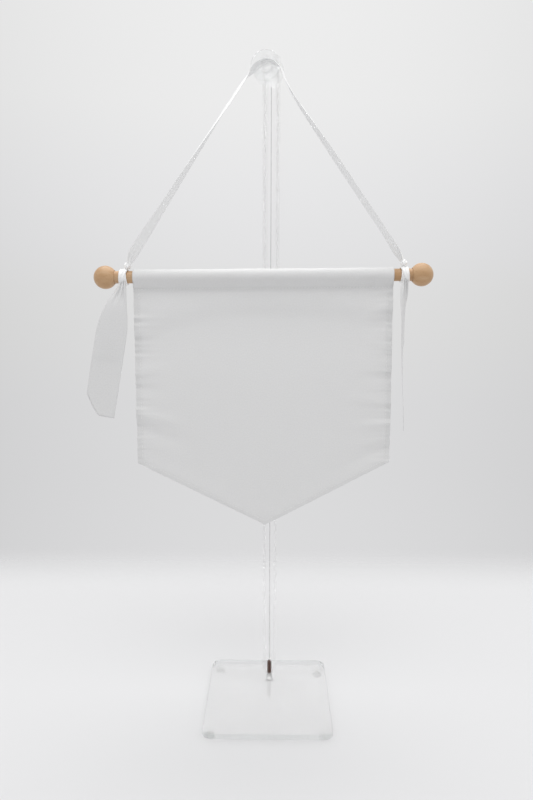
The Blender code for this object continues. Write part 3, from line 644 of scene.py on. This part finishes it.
def make_cloth(material, thread):
    bm = bmesh.new()
    uv_layer = bm.loops.layers.uv.new("UVMap")
    flat = {}
    columns = []
    shares = cloth_shares()
    for share in shares:
        column = []
        top_x = blend(CLOTH_LEFT_TOP, CLOTH_RIGHT_TOP, share)
        seam = dowel_height(top_x) - SEAM_DROP
        for step in range(4):
            point = Vector((top_x, DOWEL_Y + 0.00035, seam - SEAM_ALLOWANCE * (1 - step / 3)))
            point.y += 0.0001 * noise.noise((top_x / 0.004, 5.0, 0.0))
            column.append(point)
        for step in range(POCKET_STEPS + 1):
            angle = blend(-POCKET_LAP, math.pi + POCKET_LAP, step / POCKET_STEPS)
            column.append(pocket_point(share, angle))
        leg = cloth_drop(share) - SEAM_DROP
        for step in range(FIELD_ROWS + 1):
            column.append(cloth_point(share, leg * step / FIELD_ROWS))
        columns.append(column)
    made = []
    for share, column in zip(shares, columns):
        length = 0.0
        verts = []
        for index, point in enumerate(column):
            if index:
                length += (point - column[index - 1]).length
            vert = bm.verts.new(point)
            flat[vert] = (point.x, -length)
            verts.append(vert)
        made.append(verts)
    for before, after in zip(made, made[1:]):
        for index in range(len(before) - 1):
            bm.faces.new((before[index], before[index + 1], after[index + 1], after[index]))

    # The hems' turned layers, folded back from the side and lower edges
    start = 4 + POCKET_STEPS + 1
    width = CLOTH_RIGHT_TOP - CLOTH_LEFT_TOP
    inner = HEM_SIDE / width
    border = [(made[0][start + row], shares[0], row) for row in range(FIELD_ROWS + 1)]
    border += [(made[column][-1], shares[column], FIELD_ROWS) for column in range(1, len(shares) - 1)]
    border += [(made[-1][start + row], shares[-1], row) for row in range(FIELD_ROWS, -1, -1)]
    strips = []
    for edge_vert, share, row in border:
        down = (cloth_drop(share) - SEAM_DROP) * row / FIELD_ROWS
        inside = min(max(share, inner), 1 - inner)
        leg = cloth_drop(inside) - SEAM_DROP
        target = cloth_point(inside, min(down, leg - HEM_BOTTOM))
        line = [edge_vert]
        for part in (0.04, 0.35, 0.7, 1.0):
            point = edge_vert.co.lerp(target, part)
            point.y = blend(edge_vert.co.y, target.y, part) + CLOTH_TURNED
            vert = bm.verts.new(point)
            flat[vert] = (point.x, flat[edge_vert][1] - part * HEM_SIDE)
            line.append(vert)
        strips.append(line)
    for before, after in zip(strips, strips[1:]):
        for index in range(len(before) - 1):
            bm.faces.new((before[index], after[index], after[index + 1], before[index + 1]))
    for face in bm.faces:
        for loop in face.loops:
            loop[uv_layer].uv = flat[loop.vert]
    bmesh.ops.remove_doubles(bm, verts=[v for line in strips for v in line[1:]], dist=1e-6)
    bmesh.ops.recalc_face_normals(bm, faces=bm.faces)
    cloth = make_piece("satin_pennant", bm, material, "white_satin_cloth", "pennant_cloth")
    thicken(cloth, CLOTH_THICK)
    stitches = make_stitches(thread)
    return cloth, stitches


def thicken(piece, thickness):
    solid = piece.modifiers.new("thickness", "SOLIDIFY")
    solid.thickness = thickness
    solid.offset = 0.0
    apply_modifiers(piece)


def stitch_lines():
    """Rows of (share, down) along the pocket's seam, the side hems and the lower hems."""
    width = CLOTH_RIGHT_TOP - CLOTH_LEFT_TOP
    side = SIDE_LINE / width
    corner = CORNER_DROP - SEAM_DROP - LOW_LINE
    across = [(blend(0.004, 0.996, step / 400), 0.0004) for step in range(401)]
    left = [(side, blend(0.001, corner, step / 200)) for step in range(201)]
    right = [(1 - side, blend(0.001, corner, step / 200)) for step in range(201)]
    low = []
    for step in range(401):
        share = blend(side, 1 - side, step / 400)
        low.append((share, cloth_drop(share) - SEAM_DROP - LOW_LINE))
    return across, left, right, low


def make_stitches(material):
    bm = bmesh.new()
    for line in stitch_lines():
        points = [cloth_point(share, down) for share, down in line]
        for offset in (-CLOTH_THICK / 2 - 0.00004, CLOTH_TURNED + CLOTH_THICK / 2 + 0.00004):
            travelled = 0.0
            run = []
            for before, after in zip(points, points[1:]):
                travelled += (after - before).length
                if travelled % STITCH_PITCH < STITCH_LENGTH:
                    run.append(after + Vector((0.0, offset, 0.0)))
                elif len(run) > 1:
                    add_stitch(bm, run[0], run[-1])
                    run = []
                else:
                    run = []
    piece = make_piece("hem_stitching", bm, material, "white_satin_cloth")
    return piece


def add_stitch(bm, start, end):
    """One stitch: a short thread that dips into the cloth at both ends."""
    along = (end - start).normalized()
    side = along.cross(Vector((0, 1, 0))).normalized()
    out = side.cross(along).normalized()
    rings = []
    for share, size in ((0.0, 0.35), (0.2, 0.85), (0.5, 1.0), (0.8, 0.85), (1.0, 0.35)):
        centre = start.lerp(end, share)
        ring = []
        for step in range(6):
            angle = math.tau * step / 6
            shift = side * math.cos(angle) + out * math.sin(angle)
            ring.append(bm.verts.new(centre + shift * STITCH_RADIUS * size))
        rings.append(ring)
    for before, after in zip(rings, rings[1:]):
        for index in range(6):
            follow = (index + 1) % 6
            bm.faces.new((before[index], before[follow], after[follow], after[index]))
    bm.faces.new(rings[0][::-1])
    bm.faces.new(rings[-1])


# The ribbon

def catmull(a, b, c, d, part):
    square = part * part
    cube = square * part
    return 0.5 * (2 * b + (c - a) * part + (2 * a - 5 * b + 4 * c - d) * square
                  + (3 * b - a - 3 * c + d) * cube)


def row_at(rows, spans, share):
    """Values of a strip's table at a share of its length, on a smooth curve."""
    place = share * spans[-1]
    index = 0
    while index < len(rows) - 2 and spans[index + 1] < place:
        index += 1
    part = (place - spans[index]) / (spans[index + 1] - spans[index])
    before = rows[max(index - 1, 0)]
    after = rows[min(index + 2, len(rows) - 1)]
    values = [catmull(a, b, c, d, part) for a, b, c, d in zip(before, rows[index], rows[index + 1], after)]
    return dict(zip(STRIP_FIELDS, values))


def ribbon_section(chord, across):
    """Height of the gathered ribbon's section at a place from -0.5 to 0.5 across it."""
    chord = min(chord, RIBBON_WIDTH)
    gather = soft_step((0.0185 - chord) / 0.0095)
    slack = math.sqrt(max(RIBBON_WIDTH ** 2 - chord ** 2, 0.0))
    bow = chord * math.sqrt(0.375 * (RIBBON_WIDTH / chord - 1)) if chord > 0.001 else 0.0
    height = (1 - gather) * min(bow, RIBBON_BOW) * (1 - 4 * across * across)
    pleat = slack / (4 * RIBBON_PLEATS) * 0.45
    height += gather * pleat * math.cos(math.tau * RIBBON_PLEATS * across + 0.7)
    return height


def strip_point(rows, spans, share, across):
    values = row_at(rows, spans, share)
    ahead = row_at(rows, spans, min(share + 0.004, 1.0))
    behind = row_at(rows, spans, max(share - 0.004, 0.0))
    place = Vector((values["x"], values["y"], values["z"]))
    along = Vector([ahead[key] - behind[key] for key in "xyz"]).normalized()
    front = Vector((-math.sin(PEG_SWING), -math.cos(PEG_SWING), 0.0))
    base = Vector((0.0, -1.0, 0.0)).lerp(front, values["peg"])
    edge_on = (base - along * base.dot(along)).normalized()
    lift = along.cross(edge_on)
    turn = math.radians(values["turn"])
    width = edge_on * math.cos(turn) + lift * math.sin(turn)
    outward = width.cross(along)
    bow = ribbon_section(values["chord"], across)
    if values["peg"] > 0.5:
        bow *= 0.55
    return place + width * values["chord"] * across + outward * bow


def add_strip(bm, uv_layer, rows, side, slant=0.0):
    """A length of ribbon in the brighter face material (side 0, painted light) or the darker, rougher back material
    (side 1, painted shade).
    """
    spans = [0.0]
    for first, second in zip(rows, rows[1:]):
        spans.append(spans[-1] + math.dist(first[:3], second[:3]))
    shares = [blend(spans[row], spans[row + 1], step / RIBBON_STEPS) / spans[-1]
              for row in range(len(rows) - 1) for step in range(RIBBON_STEPS)] + [1.0]
    grid = []
    flat = {}
    for share in shares:
        line = []
        for step in range(RIBBON_ACROSS + 1):
            across = step / RIBBON_ACROSS - 0.5
            reach = share * (1.0 - slant / spans[-1] * max(0.0, 2.0 * across))
            vert = bm.verts.new(strip_point(rows, spans, reach, across))
            flat[vert] = (RIBBON_WIDTH * across, reach * spans[-1])
            line.append(vert)
        grid.append(line)
    for before, after in zip(grid, grid[1:]):
        for step in range(RIBBON_ACROSS):
            face = bm.faces.new((before[step], before[step + 1], after[step + 1], after[step]))
            face.material_index = side
            for loop in face.loops:
                loop[uv_layer].uv = flat[loop.vert]


def add_band(bm, uv_layer, centre, axis, radius, width, thick, pleats, turns=1.0, rise=0.0, squash=1.0):
    """A gathered turn of ribbon round an axis: a ridged band, closed if it makes one turn."""
    axis = axis.normalized()
    first = axis.orthogonal().normalized()
    second = axis.cross(first)
    around = round(56 * turns)
    across = 20
    grid = []
    for turn_step in range(around + 1):
        angle = math.tau * turns * turn_step / around
        radial = first * math.cos(angle) + second * math.sin(angle) * squash
        line = []
        for step in range(across):
            place = math.tau * step / across
            ridge = 1.0 + 0.36 * math.cos(pleats * place + 2.0 * math.sin(angle))
            out = radius + thick * (1.0 + math.sin(place) * ridge) / 2
            shift = width / 2 * math.cos(place) + rise * (turn_step / around - 0.5)
            line.append(bm.verts.new(centre + radial * out + axis * shift))
        grid.append(line)
    closed = turns == 1.0 and rise == 0.0
    if closed:
        for vert in grid.pop():
            bm.verts.remove(vert)
        grid.append(grid[0])
    for row, (before, after) in enumerate(zip(grid, grid[1:])):
        for step in range(across):
            follow = (step + 1) % across
            face = bm.faces.new((before[step], before[follow], after[follow], after[step]))
            corners = ((step, row), (step + 1, row), (step + 1, row + 1), (step, row + 1))
            for loop, (u, v) in zip(face.loops, corners):
                loop[uv_layer].uv = (RIBBON_WIDTH * u / across, 0.04 * v / around)
    if not closed:
        bm.faces.new(grid[0][::-1])
        bm.faces.new(grid[-1])


def make_ribbon(lit_face, shaded_back):
    bm = bmesh.new()
    uv_layer = bm.loops.layers.uv.new("UVMap")
    # The loop takes the brighter face tone and the tails the darker back tone: painted light and painted shade on
    # one white ribbon
    add_strip(bm, uv_layer, LOOP, 0)
    add_strip(bm, uv_layer, TAIL_LEFT, 1, TAIL_SLANT)
    add_strip(bm, uv_layer, TAIL_RIGHT, 1, TAIL_SLANT)
    bmesh.ops.recalc_face_normals(bm, faces=bm.faces)
    ribbon = make_piece("satin_ribbon", bm, lit_face, "white_satin_ribbon", "ribbon")
    ribbon.data.materials.append(shaded_back)
    thicken(ribbon, RIBBON_THICK)
    bm = bmesh.new()
    uv_layer = bm.loops.layers.uv.new("UVMap")
    along = Vector((math.cos(DOWEL_TILT), 0.0, math.sin(DOWEL_TILT)))
    left_knot = Vector((-0.1062, 0.0172, 0.3638))
    right_knot = Vector((0.1164, 0.0174, 0.3666))
    for x, knot, lean in ((-0.1100, left_knot, 1), (0.1176, right_knot, -1)):
        centre = Vector((x, DOWEL_Y, dowel_height(x)))
        for shift, tilt, grow in ((-0.0016, 4, 0.0), (0.0014, -5, 0.0002), (0.0, 20 * lean, 0.0009)):
            axis = Matrix.Rotation(math.radians(tilt), 3, "Y") @ along
            add_band(bm, uv_layer, centre + along * shift, axis, DOWEL_RADIUS + 0.0002 + grow, 0.0034, 0.0013, 5)
        axis = Vector((lean * 0.55, -0.25, 0.80))
        add_band(bm, uv_layer, knot, axis, 0.0008, 0.0042, 0.0022, 4, squash=0.85)
        axis = Vector((lean * 0.9, 0.1, -0.35))
        add_band(bm, uv_layer, knot, axis, 0.0012, 0.0030, 0.0020, 4, squash=0.9)
    bmesh.ops.recalc_face_normals(bm, faces=bm.faces)
    knots = make_piece("ribbon_knots", bm, lit_face, "white_satin_ribbon", "ribbon")
    return ribbon, knots


# Stage

def make_stage():
    bm = bmesh.new()
    for x, y in ((-3, -3), (3, -3), (3, 0.5), (-3, 0.5)):
        bm.verts.new((x, y, 0.0))
    bm.faces.new(bm.verts)
    mesh = bpy.data.meshes.new("floor")
    bm.to_mesh(mesh)
    bm.free()
    floor = bpy.data.objects.new("floor", mesh)
    bpy.context.collection.objects.link(floor)
    material, tree, shader = start_material("pale_table", {
        "Base Color": colour("D8D8D9"), "Roughness": 0.55, "Specular IOR Level": 0.25})
    place = add(tree, "ShaderNodeTexCoord").outputs["Object"]
    split = add(tree, "ShaderNodeSeparateXYZ", links={"Vector": place})
    fade = add(tree, "ShaderNodeMapRange", {"From Min": 0.24, "From Max": 0.40, "To Min": 1.0, "To Max": 0.0},
               {"Value": split.outputs["Y"]}, interpolation_type="SMOOTHSTEP")
    tree.links.new(fade.outputs["Result"], shader.inputs["Alpha"])
    mesh.materials.append(material)


def make_world():
    """A white room as a gradient by height, brightest overhead."""
    world = bpy.data.worlds.new("white_room")
    bpy.context.scene.world = world
    world.use_nodes = True
    tree = world.node_tree
    place = add(tree, "ShaderNodeTexCoord").outputs["Generated"]
    split = add(tree, "ShaderNodeSeparateXYZ", links={"Vector": place})
    height = add(tree, "ShaderNodeMapRange", {"From Min": -0.5, "From Max": 0.5}, {"Value": split.outputs["Z"]})
    # Height 0 is 30 degrees below the horizon and 1 is 30 degrees above it
    tones = ramp(tree, height.outputs["Result"], (
        (0.00, "E7E7E8"), (0.16, "DBDBDC"), (0.28, "DADADB"), (0.37, "DBDBDC"), (0.46, "DEDEDE"),
        (0.52, "E0E0E0"), (0.57, "E3E3E4"), (0.65, "E7E7E8"), (0.75, "ECECEC"), (1.0, "EFEFEF")))
    # Darker away to both sides, and behind the viewer, where the room is open
    wide = add(tree, "ShaderNodeMath", links={0: split.outputs["X"], 1: split.outputs["X"]}, operation="MULTIPLY")
    side = add(tree, "ShaderNodeMapRange", {"From Max": 0.14, "To Min": 1.0, "To Max": 0.90},
               {"Value": wide.outputs["Value"]})
    front = add(tree, "ShaderNodeMapRange", {"From Min": -0.8, "From Max": 0.1, "To Min": 0.80, "To Max": 1.0},
                {"Value": split.outputs["Y"]}, interpolation_type="SMOOTHSTEP")
    power = add(tree, "ShaderNodeMath", links={0: side.outputs["Result"], 1: front.outputs["Result"]},
                operation="MULTIPLY")
    back = tree.nodes["Background"]
    tree.links.new(tones.outputs["Color"], back.inputs["Color"])
    tree.links.new(power.outputs["Value"], back.inputs["Strength"])


def add_light(name, place, target, size, power):
    light = bpy.data.lights.new(name, "AREA")
    light.shape = "RECTANGLE"
    light.size, light.size_y = size
    light.energy = power
    item = bpy.data.objects.new(name, light)
    item.location = place
    item.rotation_mode = "QUATERNION"
    item.rotation_quaternion = (Vector(target) - Vector(place)).to_track_quat("-Z", "Y")
    item.visible_camera = False
    bpy.context.collection.objects.link(item)


def make_camera():
    pitch, roll, yaw = CAMERA_PITCH, CAMERA_ROLL, CAMERA_YAW
    ahead = Vector((math.sin(yaw) * math.cos(pitch), math.cos(yaw) * math.cos(pitch), -math.sin(pitch)))
    right = Vector((math.cos(yaw), -math.sin(yaw), 0.0))
    up = right.cross(ahead)
    across = math.cos(roll) * right + math.sin(roll) * up
    above = -math.sin(roll) * right + math.cos(roll) * up
    data = bpy.data.cameras.new("camera")
    data.sensor_width = SENSOR
    data.lens = FOCAL_PIXELS / FRAME_HEIGHT * SENSOR
    camera = bpy.data.objects.new("camera", data)
    turn = Matrix((across, above, -ahead)).transposed().to_4x4()
    camera.matrix_world = Matrix.Translation(CAMERA_PLACE) @ turn
    bpy.context.collection.objects.link(camera)
    bpy.context.scene.camera = camera


def main():
    make_camera()
    sheet = acrylic_material("cast_acrylic", "FDFDFD", 0.24, (90, 90, 90), (0.0, 0.015))
    # Greyer edge tone: partly the acrylic edge's own tint, partly painted shade
    edge_tint_and_shade = acrylic_material("acrylic_edge_tint_and_shade", "D6DADA", 0.62, (260, 260, 260), (0.02, 0.12))
    tube = acrylic_material("drawn_acrylic", "FDFDFD", 0.10, (900, 900, 12), (0.0, 0.03))
    turned_clear = acrylic_material("turned_acrylic", "F8FAFA", 0.28, (300, 300, 300), (0.01, 0.05))
    make_stand(sheet, edge_tint_and_shade, tube, turned_clear, painted_line_material(), bumper_material(), steel_material())
    make_wood(beech_material())
    satin = satin_material("white_satin", ("EDEDED", "F2F2F2"), 0.84, 0.06, (0.50, 0.64), 0.0009, 0.06)
    cloth, stitches = make_cloth(satin, thread_material())
    # One white satin ribbon in two tones: the brighter face is partly painted light, the darker back is painted
    # shade; the back's higher roughness is its own
    ribbon_lit_face = satin_material("ribbon_face_painted_light", ("F8F8F8", "FCFCFC"), 1.0, 0.35, (0.30, 0.40), 0.0009, 0.0)
    ribbon_shaded_back = satin_material("ribbon_back_painted_shade", ("E2E2E2", "E8E8E8"), 1.0, 0.10, (0.5, 0.6), 0.0009, 0.0)
    ribbon, knots = make_ribbon(ribbon_lit_face, ribbon_shaded_back)
    make_stage()
    make_world()
    add_light("overhead", (0.02, 0.0, 1.5), (0.0, 0.0, 0.2), (1.9, 1.4), 15.0)
    bpy.context.scene.view_settings.view_transform = "Standard"
    bpy.context.scene.cycles.transparent_max_bounces = 32


main()
